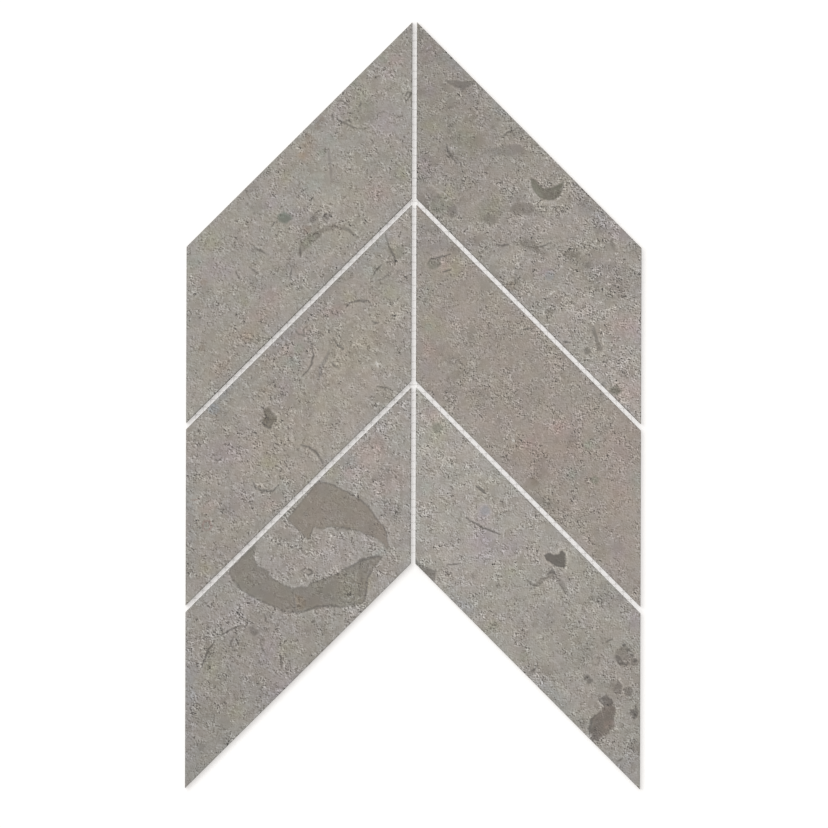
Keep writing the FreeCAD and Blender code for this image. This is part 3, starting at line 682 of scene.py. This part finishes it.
cloudDepth = 1.35  # how much of its shift each cloud gives
clouds = {
    "stone_left_1": (
        cloud("teal", 5, 4, 0, (330, 140), (196, 262)),
        cloud("teal", 9, 6, 20, (315, 182)),
        cloud("lavender", 6, 5, 0, (340, 108), (270, 203), (293, 214)),
        cloud("lavender", 12, 9, 0, (390, 122), (220, 272)),
        cloud("olive", 7, 5, 60, (363, 92), (212, 240)),
        cloud("olive", 4, 4, 0, (286, 177), (403, 174), (245, 303)),
        cloud("pink", 5, 3, 20, (306, 157), (396, 62)),
        cloud("pink", 9, 5, 20, (270, 297), (256, 315)),
        cloud("pink", 10, 7, 0, (380, 193)),
        cloud("brown", 10, 5, 45, (256, 326), (222, 368), strength=0.7),
        cloud("brown", 5, 4, 0, (306, 146), (247, 336)),
        cloud("warm", 22, 12, 45, (225, 350), (350, 215)),
        cloud("dim", 8, 2.5, -30, (258, 284), (253, 250)),
        cloud("dim", 5, 4, 0, (236, 247), (308, 231), (288, 267), (318, 219), (206, 290)),
        cloud("shade", 8, 2.6, 45, (305, 241)),
        cloud("dim", 9, 2.5, 20, (327, 229)),
        cloud("dim", 4, 3, 0, (320, 150), (319, 120), (254, 189), (398, 52), (376, 115)),
        cloud("pale", 8, 5, 0, (217, 285), (345, 165), (330, 200)),
        cloud("pale", 10, 3, 35, (340, 243), (320, 262)),
        cloud("pale", 4, 3, 0, (296, 229), (283, 161)),
    ),
    "stone_left_2": (
        cloud("blue", 14, 4, 45, (290, 333), (225, 394), (375, 250)),
        cloud("teal", 6, 5, 0, (291, 361), (284, 486), (370, 270)),
        cloud("pink", 6, 4, 30, (286, 350), (268, 504), (209, 506)),
        cloud("pink", 8, 3.5, 20, (333, 312), (299, 332)),
        cloud("brown", 5, 4, 0, (266, 361), (266, 391), strength=0.6),
        cloud("warm", 26, 18, 45, (330, 395), (275, 455), (365, 340)),
        cloud("olive", 5, 5, 0, (268, 462), (206, 568), (396, 250), (390, 292), (348, 297)),
        cloud("dim", 10, 4, 45, (330, 288)),
        cloud("shade", 6, 2, -65, (391, 251)),
        cloud("dim", 6, 2.5, 70, (319, 372), (330, 352), (380, 267), (225, 414), (228, 472)),
        cloud("dim", 11, 2.5, 85, (311, 404), (332, 412), strength=0.6),
        cloud("shade", 4, 3.5, 0, (214, 408)),
        cloud("dim", 6, 2.5, 10, (206, 525), (223, 510), (226, 552)),
        cloud("pale", 8, 6, 0, (238, 411)),
        cloud("pale", 12, 7, 30, (372, 372), (342, 398), strength=0.7),
        cloud("pale", 7, 4, -20, (300, 468), (252, 442), (268, 482)),
        cloud("lavender", 14, 10, 30, (230, 452), (240, 500)),
        cloud("lavender", 7, 4, 90, (285, 388)),
        cloud("blue", 24, 4, 90, (191, 520)),
    ),
    "stone_left_3": (
        cloud("pink", 12, 9, 20, (365, 457), (386, 482)),
        cloud("pink", 7, 3, -60, (379, 447), strength=0.9),
        cloud("pink", 4, 3, 0, (286, 524), (348, 473), (302, 604)),
        cloud("teal", 8, 5, 30, (388, 501), (378, 552), (350, 463)),
        cloud("lavender", 14, 7, 30, (250, 602), (268, 650), (275, 690)),
        cloud("dim", 4, 3, 0, (306, 631), (256, 633), (232, 643), (230, 671), (202, 746), (224, 739)),
        cloud("dim", 7, 3, 85, (321, 629), (209, 655)),
        cloud("dim", 5, 3, 0, (387, 468), (378, 480), (395, 477), (394, 512)),
        cloud("dim", 12, 10, 0, (205, 715), (230, 690), strength=0.5),
        cloud("olive", 6, 5, 60, (210, 668), (285, 648), (235, 712), (330, 473)),
        cloud("olive", 8, 6, 60, (362, 583), strength=1.5),
        cloud("blue", 26, 4, 90, (190, 690)),
        cloud("blue", 9, 6, 90, (193, 755)),
        cloud("pale", 3, 2, 0, (257, 713), (340, 609)),
        cloud("pale", 12, 8, 30, (330, 550), (240, 612), (375, 460), strength=0.6),
    ),
    "stone_right_1": (
        cloud("dim", 32, 20, -60, (465, 150), strength=0.35),
        cloud("blue", 12, 5, -45, (455, 66), (595, 213), (500, 108)),
        cloud("lavender", 9, 5, -45, (617, 232), (636, 330)),
        cloud("lavender", 6, 4, 90, (428, 50), (431, 90), (425, 164)),
        cloud("lavender", 5, 2.5, 0, (547, 272), strength=1.6),
        cloud("pink", 12, 7, 0, (622, 326), (628, 392)),
        cloud("olive", 7, 4, 0, (432, 126), (489, 209)),
        cloud("olive", 9, 9, 0, (467, 138)),
        cloud("olive", 4, 6, 0, (450, 194), (497, 203)),
        cloud("dim", 5, 2.5, -60, (440, 60), (471, 99)),
        cloud("shade", 13, 3, 0, (505, 151)),
        cloud("dim", 8, 2.5, 12, (509, 135)),
        cloud("shade", 4.5, 2.5, -60, (449, 155)),
        cloud("dim", 7, 2.5, 70, (447, 138), (454, 209)),
        cloud("dim", 5, 3, 0, (423, 179), (516, 200), (603, 230)),
        cloud("shade", 8, 3.5, -40, (429, 204)),
        cloud("shade", 4, 2.5, 0, (488, 219), (587, 265)),
        cloud("shade", 8, 3, -8, (523, 210)),
        cloud("dim", 7, 2.5, 0, (472, 240), (504, 245)),
        cloud("shade", 10, 3, -25, (533, 247)),
        cloud("shade", 5.5, 4, -30, (570, 255)),
        cloud("dim", 9, 3, -60, (584, 202)),
        cloud("dim", 5, 2.5, -60, (611, 246), (634, 250)),
        cloud("dim", 5, 3.5, 0, (617, 286), (593, 286), (512, 290), (626, 376)),
        cloud("dim", 5, 1.5, 90, (517, 277), (533, 272)),
        cloud("pale", 7, 2.5, -30, (431, 189)),
        cloud("pale", 9, 5, 0, (509, 257), (533, 290), strength=0.8),
        cloud("pale", 5, 3, -30, (473, 231), (570, 188), (441, 130)),
        cloud("pale", 14, 10, 0, (595, 312), strength=0.4),
    ),
    "stone_right_2": (
        cloud("blue", 12, 11, 0, (436, 236), strength=1.2),
        cloud("dim", 10, 3, 0, (432, 246), (424, 228)),
        cloud("dim", 4, 3, 0, (451, 250), (450, 359), (462, 374), (449, 390), (480, 394)),
        cloud("pink", 4, 3.5, 90, (445, 267), strength=0.9),
        cloud("olive", 7, 4, 90, (455, 268)),
        cloud("olive", 8, 6, 0, (432, 326)),
        cloud("teal", 9, 4, 90, (427, 291), (636, 482)),
        cloud("pink", 5, 5, 0, (428, 349), (559, 428), (527, 446)),
        cloud("lavender", 8, 5, 90, (426, 368)),
        cloud("dim", 16, 8, 0, (475, 335), strength=0.35),
        cloud("dim", 16, 4, 0, (528, 394), strength=0.6),
        cloud("pink", 28, 18, 0, (553, 447), strength=0.7),
        cloud("pink", 12, 12, 0, (626, 447), (623, 496), strength=0.7),
        cloud("dim", 28, 12, -30, (553, 455), strength=0.3),
        cloud("shade", 6, 3.5, 60, (571, 439), strength=0.8),
        cloud("dim", 10, 4, 80, (537, 472)),
        cloud("shade", 9, 3, -20, (547, 503), strength=0.8),
        cloud("dim", 9, 6, 90, (625, 440), strength=0.5),
        cloud("teal", 7, 5, 0, (592, 444), (572, 475)),
        cloud("lavender", 10, 7, 90, (618, 548)),
        cloud("pale", 9, 5, -45, (478, 424), (508, 436), strength=0.7),
        cloud("pale", 12, 10, 0, (620, 500), strength=0.4),
    ),
    "stone_right_3": (
        cloud("pink", 7, 7, 0, (430, 417)),
        cloud("olive", 8, 5, 60, (438, 433)),
        cloud("teal", 4, 4, 0, (428, 489)),
        cloud("pale", 3, 3, 0, (428, 489), (482, 506)),
        cloud("lavender", 14, 9, 90, (482, 545), strength=1.6),
        cloud("pale", 12, 8, 80, (480, 545), strength=0.6),
        cloud("lavender", 5, 4, 90, (484, 511), strength=1.6),
        cloud("lavender", 10, 9, 0, (510, 548)),
        cloud("olive", 5, 4, 0, (510, 572), (493, 626)),
        cloud("dim", 5, 1.8, 90, (503, 504)),
        cloud("dim", 4.5, 3, 0, (533, 582), (551, 576), (608, 641)),
        cloud("dim", 6, 5, 60, (470, 603), (527, 627), strength=0.6),
        cloud("dim", 9, 7, 0, (550, 615), strength=0.8),
        cloud("dim", 10, 7, 70, (582, 650), strength=0.8),
        cloud("dim", 8, 3.5, 0, (598, 599), (618, 598)),
        cloud("dim", 7, 4, 0, (548, 672)),
        cloud("dim", 7, 4, 80, (622, 655), (599, 687)),
        cloud("shade", 6, 3, 100, (613, 687)),
        cloud("shade", 5, 4, -45, (627, 692), strength=0.7),
        cloud("shade", 11, 7, 60, (604, 718), strength=0.7),
        cloud("shade", 4, 3.5, 0, (634, 714), (632, 746), strength=0.8),
        cloud("dim", 5, 3, 0, (582, 722)),
        cloud("blue", 13, 4, -45, (462, 602), (552, 694)),
        cloud("blue", 13, 8, -45, (622, 762)),
        cloud("lavender", 8, 4, 90, (634, 620)),
    ),
}
strew = {
    "strokes": 70,  # small ones strewn over each stone
    "length": (1.2, 4.5),
    "width": (0.55, 1.0),
    "strength": (0.12, 0.45),
    "spots": 70,
    "radius": (0.4, 1.3),
}


pits = {
    "count": 34,  # on each stone
    "radius": (0.7, 1.7),
    "depth": (0.1, 0.35),
    # painted shade darkens each hollow by up to this share of its tone
    "shade": 0.12,
}


def outlineDepth(x, y, points):
    # how far inside a closed outline each place is; negative outside
    near = np.full(x.shape, 1e9)
    inside = np.zeros(x.shape, bool)
    for (x1, y1), (x2, y2) in zip(points, points[1:] + points[:1]):
        along = np.clip(((x - x1) * (x2 - x1) + (y - y1) * (y2 - y1)) / ((x2 - x1) ** 2 + (y2 - y1) ** 2), 0, 1)
        near = np.minimum(near, np.hypot(x - x1 - along * (x2 - x1), y - y1 - along * (y2 - y1)))
        if y1 != y2:
            crossing = (y1 > y) != (y2 > y)
            inside ^= crossing & (x < x1 + (y - y1) * (x2 - x1) / (y2 - y1))
    return np.where(inside, near, -near)


def strokeDepth(x, y, points, width, thickest):
    depth = np.full(x.shape, -1e9)
    lengths = [math.dist(*pair) for pair in zip(points, points[1:])]
    done = 0
    for ((x1, y1), (x2, y2)), length in zip(zip(points, points[1:]), lengths):
        along = np.clip(((x - x1) * (x2 - x1) + (y - y1) * (y2 - y1)) / max(length, 0.001) ** 2, 0, 1)
        place = (done + along * length) / sum(lengths)
        half = width / 2 * (1 - 0.6 * np.abs(place - thickest) / max(thickest, 1 - thickest))
        depth = np.maximum(depth, half - np.hypot(x - x1 - along * (x2 - x1), y - y1 - along * (y2 - y1)))
        done += length
    return depth


def markDepths(mark, x, y):
    # one array of depths in millimetres for each stroke, outline or spot of a mark
    pixel = photo["pixel"]
    places = list(mark["points"])
    if mark["kind"] == "line":
        return [strokeDepth(x, y, places, mark["width"] / pixel, mark["thickest"]) * pixel]
    if mark["kind"] == "patch":
        return [outlineDepth(x, y, places) * pixel]
    return [(mark["radius"] / pixel - np.hypot(x - spotX, y - spotY)) * pixel for spotX, spotY in places]


def softStep(value, soft):
    part = np.clip(value / soft / 2 + 0.5, 0, 1)
    return part * part * (3 - 2 * part)


def paintMark(mark, face, tone):
    # tone holds red, green, blue and how speckled the stone is, and is changed in place
    colour = np.array(linear(palette[mark["tone"]]))
    reach = 12  # pixels beyond the mark
    xs, ys = zip(*mark["points"])
    x = face["x"] + face["wanderX"] * mark["wander"]
    y = face["y"] + face["wanderY"] * mark["wander"]
    near = (x > min(xs) - reach) & (x < max(xs) + reach) & (y > min(ys) - reach) & (y < max(ys) + reach)
    if not near.any():
        return
    soft = {"line": 0.3, "spot": 0.9}.get(mark["kind"]) or mark["soft"]
    for depth in markDepths(mark, x[near], y[near]):
        cover = (softStep(depth, soft) * mark["strength"])[:, None]
        part = tone[near]
        part[:, :3] += (colour - part[:, :3]) * cover
        part[:, 3:] += (mark.get("speckle", 1) - part[:, 3:]) * cover
        if mark.get("rim"):
            part[:, :3] *= 1 - (np.exp(-(depth / 0.6) ** 2) * mark["rim"])[:, None]
        if mark["kind"] != "spot":
            part[:, :3] *= 1 + (np.exp(-((depth + 1.0) / 0.5) ** 2) * mark["strength"] * 0.13)[:, None]
        tone[near] = part


def paintCloud(mark, face, tone):
    turn = math.radians(mark["turn"])
    for cloudX, cloudY in mark["points"]:
        across = (face["x"] + face["wanderX"] * 2.5 - cloudX) * photo["pixel"]
        down = (face["y"] + face["wanderY"] * 2.5 - cloudY) * photo["pixel"]
        long = (across * math.cos(turn) - down * math.sin(turn)) / mark["long"]
        short = (across * math.sin(turn) + down * math.cos(turn)) / mark["short"]
        cover = np.exp(-long ** 2 - short ** 2) * mark["strength"] * cloudDepth
        tone[:, :3] *= 1 + cover[:, None] * (np.array(shifts[mark["shift"]]) - 1)


def strewMarks(look, face, tone):
    chance = np.random.default_rng(look["seed"])
    box = (face["x"].min(), face["x"].max(), face["y"].min(), face["y"].max())
    for _ in range(strew["strokes"]):
        middle = np.array([chance.uniform(*box[:2]), chance.uniform(*box[2:])])
        turn = chance.uniform(0, math.tau)
        bend = chance.uniform(-1.2, 1.2)
        reach = chance.uniform(*strew["length"]) / photo["pixel"] / 2
        points = [tuple(middle)]
        for sign in (-1, 1):
            step = turn + sign * bend
            arm = middle + sign * reach * np.array([math.cos(step), math.sin(step)])
            points.insert(0 if sign < 0 else len(points), tuple(arm))
        stroke = line("dark", chance.uniform(*strew["width"]), *points)
        stroke["strength"] = chance.uniform(*strew["strength"]) * look["speckle"]
        paintMark(stroke, face, tone)
    for _ in range(strew["spots"]):
        place = (chance.uniform(*box[:2]), chance.uniform(*box[2:]))
        kind = chance.choice(["dark", "olive", "brown", "pale", "grey", "pink"], p=[0.3, 0.2, 0.1, 0.1, 0.2, 0.1])
        dab = spot(str(kind), chance.uniform(*strew["radius"]), place)
        dab["strength"] = chance.uniform(*strew["strength"])
        paintMark(dab, face, tone)


def pressPits(look, face, places, tone):
    # small hollows that the honing left open, with painted shade that makes them a little darker than the face
    chance = np.random.default_rng(look["seed"] + 100)
    onFace = places[:, 2] > places[:, 2].max() - 0.01 * mm
    sunk = np.zeros(len(places))
    for _ in range(pits["count"]):
        middle = places[chance.integers(len(places))]
        radius = chance.uniform(*pits["radius"]) * mm
        depth = chance.uniform(*pits["depth"]) * mm
        stretch = chance.uniform(0.6, 1.0)
        turn = chance.uniform(0, math.pi)
        across, along = places[:, 0] - middle[0], places[:, 1] - middle[1]
        long = across * math.cos(turn) + along * math.sin(turn)
        short = (along * math.cos(turn) - across * math.sin(turn)) / stretch
        part = np.clip(1 - (long ** 2 + short ** 2) / radius ** 2, 0, 1) ** 1.5 * onFace
        sunk = np.maximum(sunk, part * depth)
        # painted shade inside each hollow
        tone[:, :3] *= 1 - part[:, None] * pits["shade"]
    return sunk


def paintStone(piece, node, look):
    data = piece.data
    places = np.empty(len(data.vertices) * 3)
    data.vertices.foreach_get("co", places)
    places = places.reshape(-1, 3)
    x, y = photoPlace(places[:, 0], places[:, 1])
    wander = np.array([noise.noise_vector(Vector(place) * 260) for place in places])
    finer = np.array([noise.noise_vector(Vector(place) * 760) for place in places])
    drift = wander * 1.1 + finer * 0.9  # no outline in stone is smooth
    face = {"x": x, "y": y, "wanderX": drift[:, 0], "wanderY": drift[:, 1]}
    tone = np.ones((len(x), 4))
    run = np.ptp(places[:, 0])
    across = (places[:, 0] - places[:, 0].min()) / run
    lean = -1 if "left" in node else 1
    fall = -places[:, 1] - lean * places[:, 0] * math.tan(stoneCut["slant"])
    side = np.ptp(fall)
    fall = (fall - fall.min()) / side
    shift = np.outer(across - 0.5, look["eastward"]) + np.outer(fall - 0.5, look["downward"])
    tone[:, :3] = np.array(linear((np.array(look["tone"]) + shift).T)).T
    for mark in clouds[node]:
        paintCloud(mark, face, tone)
    strewMarks(look, face, tone)
    for mark in marks[node].values():
        paintMark(mark, face, tone)
    # painted highlight: the eased edge all round is painted paler, as where it turns to the light
    eased = places[:, 2] < places[:, 2].max() - 0.02 * mm
    tone[eased, :3] *= stoneCut["arrisPaintedHighlight"]
    inward = np.minimum(np.minimum(across, 1 - across) * run, np.minimum(fall, 1 - fall) * side * 0.7)
    blue = np.exp(-inward / (stoneCut["edgeReach"] * mm))[:, None] * stoneCut["edgeBlue"]
    tone[:, :3] *= 1 + blue * np.array((-1, 0, 1))
    places[:, 2] -= pressPits(look, face, places, tone)
    data.vertices.foreach_set("co", places.ravel())
    layer = data.attributes.new("stoneTone", "FLOAT_COLOR", "POINT")
    layer.data.foreach_set("color", tone.ravel())


# Stone materials

limestone = {
    "grain": 1.38,  # about a millimetre wide; it carries the stone's grain and painted light and shade of its relief
    "grainStep": (0.55, 0.5, 0.0),  # millimetres from light to dark
    "ripple": 0.13,  # thin winding lines, light beside dark
    "rippleTurns": 12,
    "unevenness": 0.22,  # how far the grain is calmer in one place and stronger in another
    "mottle": 0.06,
    "cloud": 0.25,
    "drift": 0.2,
    "darkSpecks": 0.1,
    "fineWorms": 0.28,
    "wideWorms": 0.12,
    "fragment": 0.09,  # how much darker the smooth bits of shell are
    "fragmentRim": 0.12,
    "roughness": 0.52,
    "gloss": 0.3,
    "bump": 0.12,  # millimetres of relief, for the finest pores
    "darkGrain": (1.028, 1.0, 0.966),  # dark grains lean to brown and light ones to grey
    "lightGrain": (0.972, 0.998, 1.034),
    "olive": (0.99, 1.003, 0.975),
    "rose": (1.01, 0.993, 1.0),
    "warm": (1.01, 1.0, 0.982),
    "cool": (0.99, 1.0, 1.018),
}


def stonePlace(knit, seed):
    # millimetres, moved for each stone so that no two share a pattern
    place = knit.make("TexCoord", out="Object")
    moved = {"Vector": place, "Location": (seed * 531.0, seed * 217.0, seed * 89.0), "Scale": (1000, 1000, 1000)}
    return knit.make("Mapping", sockets=moved)


def cloudy(knit, place, scale, detail=0.0, roughness=0.5, lacunarity=2.0):
    # noise about zero, once for each millimetre at scale 1
    sockets = {"Vector": place, "Scale": scale, "Detail": detail, "Roughness": roughness,
               "Lacunarity": lacunarity}
    return knit.make("TexNoise", sockets=sockets) - 0.5


def steppedNoise(knit, place, scale, step):
    # a noise less the same one a step away, so that every dark grain has a light one beside it, always on the same
    # side: the stone's grain with painted light and shade of its relief
    moved = knit.make("Mapping", sockets={"Vector": place, "Location": step})
    return cloudy(knit, place, scale, 1.0, 0.6) - cloudy(knit, moved, scale, 1.0, 0.6)


def worms(knit, place, scale, width, breaks):
    # winding lines, where a noise passes through zero: a light one with a dark one beside it
    field = cloudy(knit, place, scale, 1.0, 0.45)
    light = knit.sum("ABSOLUTE", field).between(width, width * 0.3)
    dark = knit.sum("ABSOLUTE", field - width * 2).between(width, width * 0.3)
    return (light - dark * 1.1) * cloudy(knit, place, breaks).between(-0.02, 0.05)


def fragments(knit, place, scale, share):
    # bits of shell: smooth, darker, with a thin dark rim; share is how many cells have none
    bent = knit.make("TexNoise", {"noise_dimensions": "3D"},
                     {"Vector": place, "Scale": scale * 3.5, "Detail": 2.0, "Roughness": 0.6}, out="Color")
    bent = knit.make("VectorMath", {"operation": "SUBTRACT"}, {0: bent, 1: (0.5, 0.5, 0.5)})
    bent = knit.make("VectorMath", {"operation": "SCALE"}, {0: bent, "Scale": 1.3 / scale})
    bent = knit.make("VectorMath", {"operation": "ADD"}, {0: place, 1: bent})
    cells = {"Vector": bent, "Scale": scale, "Randomness": 1.0}
    away = knit.make("TexVoronoi", {"feature": "F1"}, cells, out="Distance")
    chance = Knit(knit.tree, away.socket.node.outputs["Color"])
    chance = knit.make("SeparateColor", sockets={"Color": chance}, out="Red")
    size = chance.between(share, 1.0, 0.0, 0.48)
    inside = size - away
    rim = knit.sum("ABSOLUTE", inside).between(0.06, 0.01) * chance.between(share, share + 0.02)
    return inside.between(-0.01, 0.04), rim


def honedStone(name, look):
    material, knit = newMaterial("honed_" + name)
    place = stonePlace(knit, look["seed"])
    tone = knit.make("Attribute", {"attribute_name": "stoneTone"}, out="Color")
    speckle = knit.make("Attribute", {"attribute_name": "stoneTone"}, out="Alpha") * look["speckle"]
    large, largeRim = fragments(knit, place, 0.105, 0.72)
    small, smallRim = fragments(knit, place, 0.23, 0.7)
    shell = knit.sum("MAXIMUM", large, small)
    shellRim = knit.sum("MAXIMUM", largeRim, smallRim)
    grain = steppedNoise(knit, place, 0.95, limestone["grainStep"])
    ripple = knit.sum("SINE", cloudy(knit, place, 0.42, 1.5, 0.55) * limestone["rippleTurns"])
    mottle = cloudy(knit, place, 0.27, 1.0, 0.6)
    cloud = cloudy(knit, place, 0.11, 1.0, 0.6)
    drift = cloudy(knit, place, 0.028, 2.0, 0.6)
    crowd = cloudy(knit, place, 0.13, 2.0, 0.65).between(-0.1, 0.08, 0.5, 1.3) * (1 - shell * 0.75)
    calm, busy = 1 - limestone["unevenness"], 1 + limestone["unevenness"]
    crowd = crowd * cloudy(knit, place, 0.045, 1.0, 0.5).between(-0.12, 0.12, calm, busy)
    dark = cloudy(knit, place, 0.9, 1.0, 0.5).between(0.11, 0.21) * crowd
    fineWorms = worms(knit, place, 0.5, 0.055, 0.26) * crowd
    wideWorms = worms(knit, place, 0.27, 0.035, 0.17) * crowd
    # the grain term adds painted light and shade of a fine relief to the stone's own speckle
    texture = (grain * limestone["grain"] + ripple * limestone["ripple"]) * crowd
    texture = texture + mottle * limestone["mottle"] + cloud * limestone["cloud"]
    texture = texture - dark * limestone["darkSpecks"]
    texture = texture + fineWorms * limestone["fineWorms"] + wideWorms * limestone["wideWorms"]
    shade = texture * speckle + drift * limestone["drift"] + 1
    shade = shade - (shell * limestone["fragment"] + shellRim * limestone["fragmentRim"]) * speckle
    hue = cloudy(knit, place, 0.06, 1.0, 0.5).between(-0.16, 0.16)
    tint = hue.blend(limestone["olive"], limestone["rose"])
    warmth = cloudy(knit, place, 0.085, 1.0, 0.5).between(-0.15, 0.15)
    colour = tone.tinted(tint).tinted(warmth.blend(limestone["cool"], limestone["warm"])).tinted(shade)
    colour = colour.tinted(shade.between(0.6, 1.4).blend(limestone["darkGrain"], limestone["lightGrain"]))
    relief = grain * 0.6 - dark * 0.6
    bump = knit.make("Bump", sockets={"Height": relief, "Strength": 0.35,
                                      "Distance": limestone["bump"] * mm})
    roughness = limestone["roughness"] + grain * 0.25 + dark * 0.15
    surface = knit.make("BsdfPrincipled", sockets={"Base Color": colour, "Roughness": roughness,
                                                   "Specular IOR Level": limestone["gloss"], "Normal": bump})
    return finishMaterial(material, surface)


def sawnStone(name, look):
    # the cut sides and back: paler with stone dust, with the saw's fine marks
    material, knit = newMaterial("sawn_" + name)
    place = stonePlace(knit, look["seed"])
    base = linear(look["tone"])
    across = knit.make("Mapping", sockets={"Vector": place, "Scale": (0.12, 0.12, 2.2)})
    saw = cloudy(knit, across, 1.0, 2.0, 0.6)
    dust = cloudy(knit, place, 0.4, 3.0, 0.7)
    pores = cloudy(knit, place, 0.9, 1.0, 0.5).between(0.14, 0.24)
    shade = saw * 0.5 + dust * 0.6 - pores * 0.3 + 1
    colour = shade.tinted(tuple(part * 1.06 for part in base))
    bump = knit.make("Bump", sockets={"Height": saw + dust * 0.5 - pores * 0.6, "Strength": 0.6,
                                      "Distance": 0.25 * mm})
    surface = knit.make("BsdfPrincipled", sockets={"Base Color": colour, "Roughness": 0.8,
                                                   "Specular IOR Level": 0.25, "Normal": bump})
    return finishMaterial(material, surface)


# tone is the middle of a stone; it shifts by these levels from west to east, and down to the foot
# eastward and downward say how much paler the stone is at its right side and at its foot
stones = {
    "stone_left_1": {"tone": (159, 153, 145), "eastward": 0, "downward": 0, "speckle": 1.0, "seed": 1},
    "stone_right_1": {"tone": (158, 151, 143), "eastward": 15, "downward": 5, "speckle": 1.25, "seed": 2},
    "stone_left_2": {"tone": (159, 152, 144), "eastward": 5, "downward": 0, "speckle": 1.05, "seed": 3},
    "stone_right_2": {"tone": (158, 149, 140), "eastward": 0, "downward": 0, "speckle": 1.0, "seed": 4},
    "stone_left_3": {"tone": (157, 151, 144), "eastward": 10, "downward": -5, "speckle": 1.15, "seed": 5},
    "stone_right_3": {"tone": (163, 157, 149), "eastward": -10, "downward": -5, "speckle": 1.05, "seed": 6},
}


def makeStones():
    for node, look in stones.items():
        name = node + "_honed"
        materials = [honedStone(node, look), sawnStone(node, look)]
        piece = newPiece(name, stoneShape(node, "left" in node), materials)
        paintStone(piece, node, look)
        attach(piece, "root")
        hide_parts(node)
        print("stone", name, len(piece.data.polygons), "faces")


# The mesh under the stones

glassFibre = {
    "tone": (0.95, 0.9, 0.86),
    "strandPitch": 0.45,  # millimetres between the twisted bundles in a strand
    "roughness": 0.45,
    "cover": 0.13,  # each side of a strand hides this much: a quarter for one, over two fifths at a crossing
}


def meshMaterial():
    material, knit = newMaterial("glass_fibre")
    place = stonePlace(knit, 11)
    # fine fibres run along each strand, crossed by the slow twist of its bundles
    along = knit.make("Mapping", sockets={"Vector": place, "Scale": (0.35, 5.0, 1.0)})
    across = knit.make("Mapping", sockets={"Vector": place, "Scale": (5.0, 0.35, 1.0)})
    fibres = cloudy(knit, along, 1.0, 2.0, 0.6) + cloudy(knit, across, 1.0, 2.0, 0.6)
    waves = {"Vector": place, "Scale": 0.31 / glassFibre["strandPitch"], "Distortion": 0.6}
    twist = knit.make("TexWave", {"wave_type": "BANDS", "bands_direction": "DIAGONAL"}, waves, out="Fac")
    glue = cloudy(knit, place, 0.09, 2.0, 0.6).between(0.0, 0.12)
    shade = 1 + fibres * 0.22 + (twist - 0.5) * 0.1 - glue * 0.04
    colour = shade.tinted(glassFibre["tone"])
    bump = knit.make("Bump", sockets={"Height": fibres + twist * 0.6, "Strength": 0.25, "Distance": 0.1 * mm})
    surface = knit.make("BsdfPrincipled", sockets={"Base Color": colour, "Normal": bump,
                                                   "Roughness": glassFibre["roughness"] + fibres * 0.2,
                                                   "Alpha": glassFibre["cover"]})
    return finishMaterial(material, surface)


setCamera()
setSun()
setWorld()
layFloor()
print("camera, light and floor are set")
makeStones()
fibre = meshMaterial()
for node in ("mesh_upright_strands", "mesh_level_strands"):
    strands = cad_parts[node]
    strands.data.materials.clear()
    strands.data.materials.append(fibre)

bpy.context.scene.view_settings.view_transform = "Standard"
